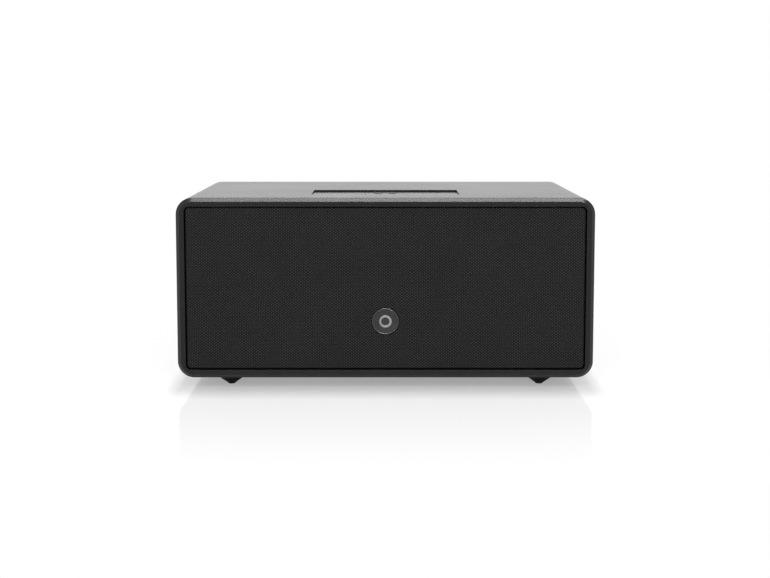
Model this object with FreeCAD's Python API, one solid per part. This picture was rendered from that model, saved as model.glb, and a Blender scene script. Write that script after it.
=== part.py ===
import FreeCAD
import Part
import math
import os

# Table speaker in a rounded sleeve cabinet, in millimetres.
# Origin on the ground under the middle of the cabinet, front towards -Y, +Z up.

# Cabinet
cabinet_width = 416.0
cabinet_height = 181.0
cabinet_depth = 220.0
cabinet_wall = 8.5
inner_radius = 5.0          # of the corners inside the sleeve
corner_radius = 16.5
edge_chamfer = 3.8          # round the front and rear edges of the sleeve
chamfer_round = 0.7
foot_height = 12.0
glue_gap = 0.2              # between a board and the wall that holds it
travel_gap = 0.3            # between a moving piece and what it passes

# Grille
grille_seam = 1.1           # dark gap between sleeve and cloth
grille_inset = 1.2          # cloth behind the front edge of the sleeve
grille_depth = 9.5
cloth_thickness = 0.6
cloth_wrap = 2.5            # how far the cloth turns round the edge
cloth_round = 1.8
skin_gap = 0.05             # between cloth and frame
frame_web = 2.5
frame_rim = 4.0
rib_thickness = 2.4
rib_depth = 2.5
window_margin = 2.0         # opening in the frame beyond the roll of the surround
horn_margin = 1.0           # the same beyond a tweeter's horn
peg_radius = 2.8
peg_length = 8.0
peg_boss_radius = 4.5
peg_lead_in = 0.8
peg_inset = 13.0            # from the inside of the sleeve to a corner peg
cup_wall = 1.7
cup_depth = 10.0

# Badge
badge_radius = 13.25
badge_height = 57.5         # above the underside of the cabinet
badge_gap = 0.95
badge_thickness = 2.8
badge_proud = 0.8
badge_rim = 1.3
badge_dish = 0.5
badge_floor = 1.6           # depth of the seat in the grille frame
badge_boss_wall = 3.0
badge_boss_floor = 3.4      # from the front of the frame to the back of the boss
badge_edge = 0.3
inlay_outer_radius = 6.2
inlay_inner_radius = 4.1
inlay_thickness = 0.7
inlay_proud = 0.2

# Front baffle
baffle_thickness = 12.0
baffle_play = 0.3           # between grille and baffle
woofer_hole_play = 1.4
motor_hole_play = 1.0

# Woofers
woofer_edge = 6.5           # from the inside of the sleeve to the woofer flange
woofer_spread = 118.0       # between the two flanges
woofer_rim = 13.0           # width of the flange outside the basket's mouth
woofer_flange = 4.0
basket_wall = 2.6
basket_taper = 12.0         # from the mouth in to the waist
basket_ledge = 8.0
basket_ledge_depth = 27.0
basket_depth = 39.0
basket_floor_bore = 17.0
basket_floor = 2.5
spoke_count = 6
spoke_width = 11.0
basket_band = 2.5           # solid band above and below each window of the basket
surround_seat = 1.2
surround_seat_width = 5.0
roll_inset = 2.5            # of the roll's centre from the basket's mouth
surround_lip = 1.0
roll_radius = 5.0
roll_skin = 0.8
cone_lip = 3.0              # under the inner edge of the surround
roll_steps = 4
cone_skin = 0.9
cone_neck_skin = 1.3
cone_depth = 21.0
cone_bow = 2.6              # how far the cone's side bows out of a straight line
cap_radius = 17.0
cap_rise = 6.5
cap_skin = 0.8
coil_radius = 13.0
coil_skin = 0.4
coil_winding = 0.6
coil_winding_length = 10.0
coil_length = 26.5
coil_reach = 3.0            # through the neck of the cone
spider_skin = 0.6
spider_wave = 1.1
spider_wave_count = 3
spider_inset = 0.9          # of the spider's edge inside the basket's wall
spider_collar = 2.5
spider_rim_play = 1.0
pole_radius = 12.0
motor_gap_radius = 14.3
plate_radius = 38.0
plate_thickness = 6.0
magnet_radius = 40.0
magnet_thickness = 14.6
magnet_bore = 20.0
yoke_thickness = 5.0
glue_line = 0.1
woofer_screw_inset = 4.1    # from the edge of the flange
woofer_screw_count = 4

# Tweeters
tweeter_spacing = 62.0
tweeter_lift = 37.5         # tweeter centre above the middle of the cabinet
tweeter_radius = 28.0
tweeter_plate = 4.0
tweeter_plate_edge = 0.5
tweeter_horn_radius = 20.0
tweeter_horn_depth = 3.0
tweeter_throat_radius = 14.6
dome_radius = 12.2
dome_rise = 4.2
dome_skin = 0.5
dome_roll_radius = 14.2
dome_coil_length = 3.6
tweeter_motor_radius = 22.0
tweeter_motor_length = 20.0
tweeter_motor_gap = 0.7
tweeter_motor_edge = 1.0
tweeter_recess = 0.6        # of the motor's face behind the dome
tweeter_travel = 0.25
tweeter_screw_circle = 24.4
tweeter_screw_count = 3

# Wood screws for the drivers, plate screws at the rear
driver_screw_radius = 1.9
driver_screw_length = 11.0
screw_head_radius = 3.0
screw_head_height = 2.0
screw_play = 0.15
plate_screw_radius = 1.6
plate_screw_length = 10.0

# Control recess in the top
recess_width = 152.0
recess_length = 57.0
recess_depth = 2.1          # from the top face down to the control plate
recess_front = 41.6         # behind the front edge of the cabinet
recess_corner = 3.0
recess_lip_round = 0.6
control_plate_thickness = 1.5
control_window_width = 137.0
control_window_length = 42.0
key_radius = 4.5
key_rise = 0.6
key_dish = 0.25
key_edge = 0.3
key_gap = 0.35
key_flange_radius = 5.6
key_flange = 1.0
key_stem_radius = 2.0
key_stem_length = 0.8
key_travel = 0.5
key_pitch = 15.0
key_row_spacing = 27.0
front_key_names = ("volume_down_key", "preset_one_key", "preset_two_key", "volume_up_key")
rear_key_names = ("source_key", "play_key")
switch_size = 6.0
switch_body = 2.6
switch_plunger = 0.7
switch_plunger_radius = 1.7
control_board_width = 130.0
control_board_length = 46.0
board_thickness = 1.6
post_radius = 2.5
post_pin_radius = 1.2
post_spacing_x = 118.0
post_spacing_y = 32.0

# Rear board and amplifier plate
rear_inset = 11.0
rear_board_thickness = 9.0
gasket_thickness = 1.0
gasket_width = 8.0
plate_sheet = 2.0
plate_width = 186.0
plate_height = 70.0
plate_corner = 4.0
plate_lift = 6.0            # above the inside of the cabinet floor
plate_screw_edge = 4.0
plate_screw_middle_x = 30.0
standoff_radius = 3.0
standoff_length = 19.4
standoff_edge = 1.0

# Reflex port
port_margin = 6.0           # round the port's flange, to the plate and to the roof
port_wall = 2.0
port_flare = 12.0
port_flange = 4.0
port_flange_thickness = 2.0
port_length = 91.0
port_gap = 0.4

# Sockets, placed across the plate from its two ends
mains_inset = 27.0          # from the end of the plate to the middle of the inlet
network_pitch = 44.0        # from the inlet to the network socket
socket_pitch = 24.0         # between the sub output, the jack socket and the button
pairing_inset = 31.0
mains_flange_width = 31.0
mains_flange_height = 21.0
mains_flange = 1.5
mains_body_width = 25.0
mains_body_height = 15.0
mains_body_corner = 3.0
mains_flange_corner = 4.0
mains_cavity_width = 17.6
mains_cavity_height = 9.4
mains_cavity_depth = 14.0
mains_pin_radius = 1.2
mains_pin_spacing = 8.6
mains_pin_length = 9.5
network_width = 16.4
network_height = 14.0
network_corner = 0.6
network_proud = 0.8
network_cavity_width = 12.0
network_cavity_height = 7.4
network_cavity_depth = 13.0
network_latch_width = 6.4
network_latch_height = 2.2
phono_radius = 4.15
phono_bore = 1.6
phono_shell_length = 7.0
phono_collar_radius = 5.0
phono_collar_proud = 0.6
phono_bore_length = 7.6
phono_seat_radius = 6.2
phono_seat = 1.4
aux_bore = 1.8
aux_bore_length = 14.0
aux_nose_radius = 3.9
aux_nose_proud = 1.4
aux_nose_root = 3.0
aux_body = 9.0
pairing_radius = 3.0
pairing_proud = 1.6
pairing_travel = 0.5
pairing_edge = 0.4
pairing_flange_radius = 4.4
pairing_flange = 1.0
pairing_stem = 14.0
pairing_stem_radius = 1.5
socket_gap = 0.2

# Boards inside
amplifier_board_edge = 5.0  # inside the opening of the rear board
board_corner = 2.0
heat_sink_width = 56.0
heat_sink_height = 40.0
heat_sink_base = 4.0
heat_sink_depth = 22.0
heat_sink_fins = 8
heat_sink_fin = 1.6
amplifier_cans = (          # across, up from the middle of the board, radius, height
    (-62, -10, 5, 16),
    (-50, -10, 5, 16),
    (-62, 8, 4, 12),
    (58, 10, 5, 16),
    (70, 10, 4, 12),
)
amplifier_chips = (         # across, up, size, height
    (-40, 12, 11, 8),
    (40, 12, 11, 8),
    (44, -12, 14, 2),
    (66, -12, 9, 2),
    (-40, -12, 8, 2),
)
power_board_width = 130.0
power_board_length = 78.0
power_board_y = 5.0
power_board_lift = 8.0
power_post_radius = 3.0
power_post_inset = 5.0
power_cans = (              # across, back from the middle of the board, radius, height
    (-52, 22, 9, 32),
    (-30, 22, 9, 32),
    (38, 24, 6, 20),
    (52, 24, 6, 20),
    (54, -24, 5, 16),
)
power_blocks = (            # across, back, width, length, height
    (4, 6, 34, 30, 26),
    (-40, -18, 22, 20, 18),
    (34, -14, 6, 28, 20),
    (0, -26, 16, 10, 8),
)
wireless_width = 52.0
wireless_height = 36.0
wireless_x = 110.0
wireless_drop = 42.0
wireless_stand = 4.0
wireless_post_radius = 2.5
wireless_post_inset = 4.0
shield_size = 22.0
shield_height = 2.6
lead_radius = 1.75
lead_header_x = 57.0
lead_header_size = 14.0
lead_header_depth = 6.0
lead_pair_spacing = 8.0
terminal_size = 6.0
terminal_length = 7.0
ribbon_width = 16.0
ribbon_thickness = 0.8
ribbon_x = -39.0
ribbon_header = 5.0
ribbon_play = 1.0
woofer_lead_runs = (38.0, 49.0)         # straight out of the header, straight into the terminal
tweeter_lead_runs = (31.0, 33.0)
tweeter_lead_bends = ((50, 5, 103), (40, -18, 124))
ribbon_runs = (26.0, 32.0)
ribbon_bend = (20, 128)                 # back and up
arc_share = 0.45            # of the shorter run beside a bend
pad_thickness = 8.0
pad_length = 120.0
pad_height = 128.0
pad_round = 3.0

# Feet
foot_inset_x = 50.5
foot_inset_y = 30.0
foot_radius = 16.0
foot_collar = 2.4
foot_tip_radius = 4.4
foot_tip_round = 1.0
foot_edge = 0.6
stud_radius = 2.9
stud_length = 7.0
insert_wall = 1.6
insert_play = 0.1

# Places that follow from the sizes
front_y = -cabinet_depth / 2
rear_y = cabinet_depth / 2
bottom_z = foot_height
top_z = foot_height + cabinet_height
middle_z = foot_height + cabinet_height / 2
inner_width = cabinet_width - 2 * cabinet_wall
inner_height = cabinet_height - 2 * cabinet_wall
floor_z = bottom_z + cabinet_wall
roof_z = top_z - cabinet_wall

cloth_y = front_y + grille_inset
frame_y = cloth_y + cloth_thickness + skin_gap
grille_back_y = cloth_y + grille_depth
baffle_y = grille_back_y + baffle_play
baffle_back_y = baffle_y + baffle_thickness
cloth_width = inner_width - 2 * grille_seam
cloth_height = inner_height - 2 * grille_seam
cloth_radius = inner_radius - grille_seam
skin = cloth_thickness + skin_gap
frame_width = cloth_width - 2 * skin
frame_height = cloth_height - 2 * skin
frame_radius = cloth_radius - skin

woofer_flange_radius = (inner_width - woofer_spread - 2 * woofer_edge) / 4
woofer_x = inner_width / 2 - woofer_edge - woofer_flange_radius
basket_mouth_radius = woofer_flange_radius - woofer_rim
basket_waist_radius = basket_mouth_radius - basket_taper
basket_ledge_radius = basket_waist_radius - basket_ledge
roll_centre_radius = basket_mouth_radius - roll_inset
surround_outer_radius = basket_mouth_radius + surround_seat_width
surround_inner_radius = roll_centre_radius - roll_radius - cone_lip
spider_outer_radius = basket_waist_radius - basket_wall - spider_inset
woofer_screw_circle = woofer_flange_radius - woofer_screw_inset
woofer_hole_radius = basket_mouth_radius + basket_wall + woofer_hole_play
window_radius = roll_centre_radius + roll_radius + window_margin
tweeter_x = tweeter_spacing / 2
tweeter_z = middle_z + tweeter_lift
badge_z = bottom_z + badge_height
peg_x = inner_width / 2 - peg_inset
peg_places = [(x, z) for x in (-peg_x, 0.0, peg_x)
              for z in (floor_z + peg_inset, roof_z - peg_inset)]

recess_y = front_y + recess_front + recess_length / 2
plate_top_z = top_z - recess_depth
plate_under_z = plate_top_z - control_plate_thickness
key_flange_z = plate_under_z - travel_gap
key_stem_z = key_flange_z - key_flange - key_stem_length
plunger_z = key_stem_z - key_travel - travel_gap
board_top_z = plunger_z - switch_plunger - switch_body

rear_board_back_y = rear_y - rear_inset
rear_board_y = rear_board_back_y - rear_board_thickness
plate_in_y = rear_board_back_y + gasket_thickness
plate_out_y = plate_in_y + plate_sheet
plate_z = floor_z + plate_lift + plate_height / 2
amplifier_board_y = plate_in_y - standoff_length
port_flange_radius = (inner_height - plate_lift - plate_height) / 2 - port_margin
port_z = roof_z - port_margin - port_flange_radius
port_mouth_radius = port_flange_radius - port_flange
port_bore_radius = port_mouth_radius - port_flare
amplifier_board_width = plate_width - 2 * gasket_width - 2 * amplifier_board_edge
amplifier_board_height = plate_height - 2 * gasket_width
mains_x = mains_inset - plate_width / 2
network_x = mains_x + network_pitch
pairing_x = plate_width / 2 - pairing_inset
aux_x = pairing_x - socket_pitch
phono_x = aux_x - socket_pitch
foot_x = cabinet_width / 2 - foot_inset_x
foot_y = cabinet_depth / 2 - foot_inset_y


def vec(x, y, z):
    return FreeCAD.Vector(x, y, z)


right = vec(1, 0, 0)
back = vec(0, 1, 0)
up = vec(0, 0, 1)


def block(x0, x1, y0, y1, z0, z1):
    return Part.makeBox(x1 - x0, y1 - y0, z1 - z0, vec(x0, y0, z0))


def rod_y(radius, y0, y1, x, z):
    return Part.makeCylinder(radius, y1 - y0, vec(x, y0, z), back)


def rod_z(radius, z0, z1, x, y):
    return Part.makeCylinder(radius, z1 - z0, vec(x, y, z0), up)


def rounded_face(width, height, radius, centre, across, along):
    """A flat rounded rectangle, width across and height along."""
    reach_a = width / 2
    reach_b = height / 2
    soft = radius * (1 - math.sqrt(0.5))
    edges = []
    for sign_a, sign_b in ((1, 1), (-1, 1), (-1, -1), (1, -1)):
        corner = centre + across * (sign_a * reach_a) + along * (sign_b * reach_b)
        towards_a = across * -sign_a
        towards_b = along * -sign_b
        first, last = corner + towards_b * radius, corner + towards_a * radius
        if sign_a * sign_b < 0:
            first, last = last, first
        middle = corner + (towards_a + towards_b) * soft
        edges.append((first, middle, last))
    wire = []
    for number, (first, middle, last) in enumerate(edges):
        wire.append(Part.Arc(first, middle, last).toShape())
        following = edges[(number + 1) % len(edges)][0]
        wire.append(Part.LineSegment(last, following).toShape())
    return Part.Face(Part.Wire(wire))


def upright_slab(width, height, radius, y0, y1, x=0.0, z=middle_z):
    face = rounded_face(width, height, radius, vec(x, y0, z), right, up)
    return face.extrude(back * (y1 - y0))


def flat_slab(width, length, radius, z0, z1, x, y):
    face = rounded_face(width, length, radius, vec(x, y, z0), right, back)
    return face.extrude(up * (z1 - z0))


def turned(steps, origin, axis, angle=360.0, start=0.0):
    """Turn an outline of (radius, along) points; a pair of points is an arc through the first."""
    aside = up if axis == back else right

    def place(point):
        return origin + aside * point[0] + axis * point[1]

    edges = []
    last = steps[0]
    for step in steps[1:] + steps[:1]:
        if isinstance(step[0], tuple):
            middle, end = step
            edges.append(Part.Arc(place(last), place(middle), place(end)).toShape())
        else:
            end = step
            if place(last).distanceToPoint(place(end)) > 1e-6:
                edges.append(Part.LineSegment(place(last), place(end)).toShape())
        last = end
    face = Part.Face(Part.Wire(edges))
    solid = face.revolve(origin, axis, angle)
    if start:
        solid.rotate(origin, axis, start)
    return solid


def edges_on(shape, axis_name, value):
    """Edges that lie wholly in the plane where x, y or z has this value."""
    def lies(edge):
        box = edge.BoundBox
        low = getattr(box, axis_name + "Min")
        high = getattr(box, axis_name + "Max")
        return abs(low - value) < 1e-4 and abs(high - value) < 1e-4
    return [edge for edge in shape.Edges if lies(edge)]


def cap_arc(radius, rise, apex):
    """Arc of a ball's cap from its rim inwards to the axis, or outwards when it is read backwards."""
    ball = (radius ** 2 + rise ** 2) / (2 * rise)
    half = math.asin(radius / ball) / 2
    return (ball * math.sin(half), apex + ball * (1 - math.cos(half)))


def swept(points, profile_at):
    """Sweep a profile along straight runs joined by tangent arcs, each as large as its runs allow."""
    edges = []
    last = points[0]
    for before, corner, after in zip(points, points[1:], points[2:]):
        into = corner - before
        out = after - corner
        reach = arc_share * min(into.Length, out.Length)
        into.normalize()
        out.normalize()
        turn = into.getAngle(out)
        radius = reach / math.tan(turn / 2)
        start = corner - into * reach
        end = corner + out * reach
        inward = (out - into).normalize()
        middle = corner + inward * (radius / math.cos(turn / 2) - radius)
        edges.append(Part.LineSegment(last, start).toShape())
        edges.append(Part.Arc(start, middle, end).toShape())
        print("arc radius", round(radius, 1))
        last = end
    edges.append(Part.LineSegment(last, points[-1]).toShape())
    wire = Part.Wire(edges)
    return wire.makePipeShell([profile_at(points[0])], True, False)


def ring_of(count, radius, x, z, turn=0.0):
    """Places round a circle in an upright plane."""
    angles = [math.radians(turn + 360.0 * n / count) for n in range(count)]
    return [(x + radius * math.cos(a), z + radius * math.sin(a)) for a in angles]


def save(name, solids):
    shape = solids[0] if len(solids) == 1 else Part.makeCompound(solids)
    shape.exportStep(os.path.join("parts", name + ".step"))


# Cabinet, baffle and rear board


def cabinet_shell():
    sleeve = upright_slab(cabinet_width, cabinet_height, corner_radius, front_y, rear_y)
    ends = edges_on(sleeve, "Y", front_y) + edges_on(sleeve, "Y", rear_y)
    sleeve = sleeve.makeChamfer(edge_chamfer, ends)
    rims = []
    for y in (front_y, front_y + edge_chamfer, rear_y - edge_chamfer, rear_y):
        rims += edges_on(sleeve, "Y", y)
    sleeve = sleeve.makeFillet(chamfer_round, rims)
    sleeve = sleeve.cut(upright_slab(inner_width, inner_height, inner_radius, front_y - 1, rear_y + 1))
    pocket = flat_slab(recess_width, recess_length, recess_corner, plate_under_z, top_z + 1, 0, recess_y)
    window = flat_slab(control_window_width, control_window_length, recess_corner,
                       roof_z - 1, top_z, 0, recess_y)
    sleeve = sleeve.cut([pocket, window])
    reach_x = recess_width / 2 + 0.1
    reach_y = recess_length / 2 + 0.1
    mouth = [edge for edge in edges_on(sleeve, "Z", top_z)
             if abs(edge.CenterOfMass.x) < reach_x and abs(edge.CenterOfMass.y - recess_y) < reach_y]
    sleeve = sleeve.makeFillet(recess_lip_round, mouth)
    hole = stud_radius + insert_play + insert_wall + insert_play
    holes = [rod_z(hole, bottom_z - 1, floor_z + 1, x, y) for x, y in foot_places()]
    return sleeve.cut(holes)


def front_baffle():
    board = upright_slab(inner_width - 2 * glue_gap, inner_height - 2 * glue_gap,
                         inner_radius - glue_gap, baffle_y, baffle_back_y)
    cuts = []
    motor_hole_radius = tweeter_motor_radius + motor_hole_play
    drivers = ((woofer_x, middle_z, woofer_flange_radius, woofer_flange, woofer_hole_radius),
               (tweeter_x, tweeter_z, tweeter_radius, tweeter_plate, motor_hole_radius))
    for side in (-1, 1):
        for x, z, seat_radius, seat_depth, hole_radius in drivers:
            cuts.append(rod_y(seat_radius + screw_play, baffle_y - 1, baffle_y + seat_depth, side * x, z))
            cuts.append(rod_y(hole_radius, baffle_y, baffle_back_y + 1, side * x, z))
    cup_radius = peg_radius + travel_gap + cup_wall
    for x, z in peg_places:
        cuts.append(rod_y(cup_radius + screw_play, baffle_y - 1, baffle_y + cup_depth, x, z))
    for x, z in driver_screw_places():
        cuts.append(screw_hole(driver_screw_radius, baffle_y, baffle_back_y + 1, x, z))
    return board.cut(cuts)


def rear_board():
    board = upright_slab(inner_width - 2 * glue_gap, inner_height - 2 * glue_gap,
                         inner_radius - glue_gap, rear_board_y, rear_board_back_y)
    opening = upright_slab(plate_width - 2 * gasket_width, plate_height - 2 * gasket_width,
                           plate_corner, rear_board_y - 1, rear_board_back_y + 1, 0, plate_z)
    port = rod_y(port_mouth_radius + port_gap, rear_board_y - 1, rear_board_back_y + 1, 0, port_z)
    holes = [screw_hole(plate_screw_radius, rear_board_back_y + 1 - plate_screw_length,
                        rear_board_back_y + 1, x, z) for x, z in plate_screw_places()]
    return board.cut([opening, port] + holes)


# Fasteners


def screw_hole(radius, y0, y1, x, z):
    return rod_y(radius + screw_play, y0, y1, x, z)


def woofer_screw_places(side):
    return ring_of(woofer_screw_count, woofer_screw_circle, side * woofer_x, middle_z, 45.0)


def tweeter_screw_places(side):
    return ring_of(tweeter_screw_count, tweeter_screw_circle, side * tweeter_x, tweeter_z, 90.0)


def driver_screw_places():
    places = []
    for side in (-1, 1):
        places += woofer_screw_places(side) + tweeter_screw_places(side)
    return places


def plate_screw_places():
    corner_x = plate_width / 2 - plate_screw_edge
    corner_z = plate_height / 2 - plate_screw_edge
    return [(x, plate_z + z) for x in (-corner_x, -plate_screw_middle_x, plate_screw_middle_x, corner_x)
            for z in (-corner_z, corner_z)]


def pan_screw(radius, length, seat_y, x, z, outwards):
    """A screw whose head sits on the plane y = seat_y; outwards is -1 at the front and 1 at the rear."""
    steps = [(0, 0), (radius, 0), (radius, length), (screw_head_radius, length),
             (screw_head_radius, length + screw_head_height), (0, length + screw_head_height)]
    screw = turned(steps, vec(x, 0, z), back)
    if outwards < 0:
        screw.rotate(vec(x, 0, z), up, 180)
    screw.translate(back * (seat_y - outwards * length))
    return screw


# Grille and badge


def grille_frame():
    front = upright_slab(frame_width, frame_height, frame_radius, frame_y, grille_back_y)
    front = front.makeFillet(cloth_round - skin, edges_on(front, "Y", frame_y))
    inner = upright_slab(frame_width - 2 * frame_rim, frame_height - 2 * frame_rim,
                         frame_radius - frame_rim / 2, frame_y + frame_web, grille_back_y + 1)
    frame = front.cut(inner)
    rib_y = frame_y + frame_web + rib_depth
    half_height = frame_height / 2 - frame_rim / 2
    half_width = frame_width / 2 - frame_rim / 2
    ribs = []
    for x in (-woofer_x + window_radius + rib_thickness, 0.0, woofer_x - window_radius - rib_thickness):
        ribs.append(block(x - rib_thickness / 2, x + rib_thickness / 2, frame_y + 1, rib_y,
                          middle_z - half_height, middle_z + half_height))
    ribs.append(block(-half_width, half_width, frame_y + 1, rib_y,
                      middle_z - rib_thickness / 2, middle_z + rib_thickness / 2))
    cuts = []
    for side in (-1, 1):
        for radius, x, z in ((window_radius, woofer_x, middle_z),
                             (tweeter_horn_radius + horn_margin, tweeter_x, tweeter_z)):
            ribs.append(rod_y(radius + rib_thickness, frame_y + 1, rib_y, side * x, z))
            cuts.append(rod_y(radius, frame_y - 1, grille_back_y + 1, side * x, z))
    seat_radius = badge_radius + badge_gap
    ribs.append(rod_y(seat_radius + badge_boss_wall, frame_y + 1, frame_y + badge_boss_floor, 0, badge_z))
    cuts.append(rod_y(seat_radius, frame_y - 1, frame_y + badge_floor, 0, badge_z))
    for x, z in peg_places:
        ribs.append(rod_y(peg_boss_radius, frame_y + 1, grille_back_y, x, z))
    frame = frame.fuse(ribs).cut(cuts)
    pegs = []
    for x, z in peg_places:
        peg = rod_y(peg_radius, grille_back_y - 1, grille_back_y + peg_length, x, z)
        pegs.append(peg.makeChamfer(peg_lead_in, edges_on(peg, "Y", grille_back_y + peg_length)))
    return frame.fuse(pegs).removeSplitter()


def grille_cloth():
    sheet = upright_slab(cloth_width, cloth_height, cloth_radius, cloth_y, cloth_y + cloth_wrap)
    sheet = sheet.makeFillet(cloth_round, edges_on(sheet, "Y", cloth_y))
    form = upright_slab(frame_width + 2 * skin_gap, frame_height + 2 * skin_gap, frame_radius + skin_gap,
                        cloth_y + cloth_thickness, cloth_y + cloth_wrap + 1)
    form = form.makeFillet(cloth_round - cloth_thickness, edges_on(form, "Y", cloth_y + cloth_thickness))
    hole = rod_y(badge_radius + badge_gap, cloth_y - 1, cloth_y + cloth_wrap, 0, badge_z)
    return sheet.cut([form, hole])


def badge_places():
    badge_front = cloth_y - badge_proud
    return badge_front, badge_front + badge_dish


def badge_plate():
    badge_front, face = badge_places()
    rim = badge_radius - badge_rim
    seat = badge_dish + inlay_thickness - inlay_proud
    seat_in = inlay_inner_radius - skin_gap
    seat_out = inlay_outer_radius + skin_gap
    steps = [(0, badge_dish), (seat_in, badge_dish), (seat_in, seat), (seat_out, seat),
             (seat_out, badge_dish), (rim, badge_dish), (rim + badge_dish, 0),
             (badge_radius - badge_edge, 0), (badge_radius, badge_edge),
             (badge_radius, badge_thickness), (0, badge_thickness)]
    return turned(steps, vec(0, badge_front, badge_z), back)


def badge_inlay():
    badge_front, face = badge_places()
    steps = [(inlay_inner_radius, 0), (inlay_outer_radius, 0), (inlay_outer_radius, inlay_thickness),
             (inlay_inner_radius, inlay_thickness)]
    return turned(steps, vec(0, face - inlay_proud, badge_z), back)


def grille_cup(x, z):
    bore = peg_radius + travel_gap
    steps = [(bore, 0), (bore + cup_wall, 0), (bore + cup_wall, cup_depth - glue_line),
             (bore, cup_depth - glue_line)]
    return turned(steps, vec(x, baffle_y, z), back)


# Woofer, every depth counted from the front of its flange


def woofer_axis(side):
    return vec(side * woofer_x, baffle_y, middle_z)


def woofer_terminal(side):
    """Where the lead meets the terminal block, on the side of the basket that looks inwards."""
    x = side * (woofer_x - basket_waist_radius - terminal_size / 2 - 1)
    return vec(x, baffle_y + basket_ledge_depth + terminal_length + 1, middle_z)


def window_outline(front, rear):
    return [(basket_floor_bore, front), (woofer_flange_radius, front), (woofer_flange_radius, rear),
            (basket_floor_bore, rear)]


def woofer_basket(side):
    waist = basket_waist_radius - basket_wall
    steps = [(woofer_flange_radius, 0), (woofer_flange_radius, woofer_flange),
             (basket_mouth_radius + basket_wall, woofer_flange), (basket_waist_radius, basket_ledge_depth),
             (basket_waist_radius, basket_depth), (basket_floor_bore, basket_depth),
             (basket_floor_bore, basket_depth - basket_floor),
             (basket_ledge_radius, basket_depth - basket_floor), (basket_ledge_radius, basket_ledge_depth),
             (waist, basket_ledge_depth), (basket_mouth_radius, woofer_flange),
             (basket_mouth_radius, surround_seat), (surround_outer_radius + glue_line, surround_seat),
             (surround_outer_radius + glue_line, 0)]
    basket = turned(steps, woofer_axis(side), back)
    step = 360.0 / spoke_count
    middle_radius = (basket_mouth_radius + basket_waist_radius) / 2
    gap = step - math.degrees(spoke_width / middle_radius)
    low_gap = step - math.degrees(spoke_width / basket_waist_radius)
    side_window = window_outline(woofer_flange + basket_band, basket_ledge_depth - basket_band)
    low_window = window_outline(basket_ledge_depth + basket_band,
                                basket_depth - basket_floor - basket_band / 2)
    cuts = []
    for n in range(spoke_count):
        middle = (n + 1) * step
        cuts.append(turned(side_window, woofer_axis(side), back, gap, middle - gap / 2))
        cuts.append(turned(low_window, woofer_axis(side), back, low_gap, middle - low_gap / 2))
    for x, z in woofer_screw_places(side):
        cuts.append(screw_hole(driver_screw_radius, baffle_y - 1, baffle_y + woofer_flange + 1, x, z))
    tag = woofer_terminal(side)
    half = terminal_size / 2
    wall_x = side * (woofer_x - basket_waist_radius + basket_wall / 2)
    tag_x = tag.x - side * half
    tag_block = block(min(tag_x, wall_x), max(tag_x, wall_x), tag.y - terminal_length, tag.y - glue_line,
                      tag.z - half, tag.z + half)
    return basket.cut(cuts).fuse(tag_block)


def roll_points(radius, base, steps):
    """Points over a half roll, from its outer foot to its inner one, bulging forwards."""
    turn = math.pi / steps
    return [(roll_centre_radius + radius * math.cos(n * turn), base - radius * math.sin(n * turn))
            for n in range(steps + 1)]


def woofer_surround(side):
    face = surround_seat - glue_line - surround_lip
    outer = roll_points(roll_radius, face, roll_steps)
    inner = roll_points(roll_radius - roll_skin, face + surround_lip, roll_steps)
    steps = [(surround_outer_radius, face)] + outer + [(surround_inner_radius, face)]
    steps += [(surround_inner_radius, face + surround_lip)] + inner[::-1]
    steps += [(surround_outer_radius, face + surround_lip)]
    return turned(steps, woofer_axis(side), back)


def cone_side(lip_skin, neck_skin):
    """Outline of one face of the cone, from its lip to its neck."""
    lip = (roll_centre_radius - roll_radius, surround_seat + lip_skin)
    edge = (surround_inner_radius, surround_seat + lip_skin)
    neck = (coil_radius + glue_gap, surround_seat + cone_depth + neck_skin)
    middle = ((edge[0] + neck[0]) / 2 - cone_bow, (edge[1] + neck[1]) / 2 - cone_bow)
    return [lip, edge, middle, neck]


def cone_face_depth(radius):
    """Depth of the cone's front face at a radius between its neck and its edge."""
    lip, edge, middle, neck = cone_side(0, 0)
    outer, inner = (edge, middle) if radius > middle[0] else (middle, neck)
    share = (outer[0] - radius) / (outer[0] - inner[0])
    return outer[1] + share * (inner[1] - outer[1])


def woofer_cone(side):
    front = cone_side(0, 0)
    rear = cone_side(cone_skin, cone_neck_skin)
    return turned(front + rear[::-1], woofer_axis(side), back)


def woofer_cap(side):
    rim = cone_face_depth(cap_radius) - glue_line
    apex = rim - cap_rise
    inner_rim = cap_radius - cap_skin
    inner_rise = cap_rise - cap_skin
    steps = [(0, apex), (cap_arc(cap_radius, cap_rise, apex), (cap_radius, rim)), (inner_rim, rim),
             (cap_arc(inner_rim, inner_rise, apex + cap_skin), (0, apex + cap_skin))]
    return turned(steps, woofer_axis(side), back)


def woofer_coil(side):
    start = surround_seat + cone_depth - coil_reach
    end = start + coil_length
    winding = end - coil_winding_length
    inner = coil_radius - coil_skin
    outer = coil_radius + coil_winding
    steps = [(inner, start), (coil_radius, start), (coil_radius, winding), (outer, winding), (outer, end),
             (inner, end)]
    return turned(steps, woofer_axis(side), back)


def woofer_spider(side):
    base = basket_ledge_depth - glue_line - spider_skin
    start = coil_radius + spider_collar
    end = basket_ledge_radius - spider_rim_play
    pitch = (end - start) / (2 * spider_wave_count)
    ups = [(start + (n + 0.5) * pitch, base + spider_wave * (-1) ** n)
           for n in range(2 * spider_wave_count)]
    front = [(coil_radius + glue_gap, base), (start, base)] + ups
    front += [(end, base), (spider_outer_radius, base)]
    rear = [(r, v + spider_skin) for r, v in front]
    return turned(front + rear[::-1], woofer_axis(side), back)


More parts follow.
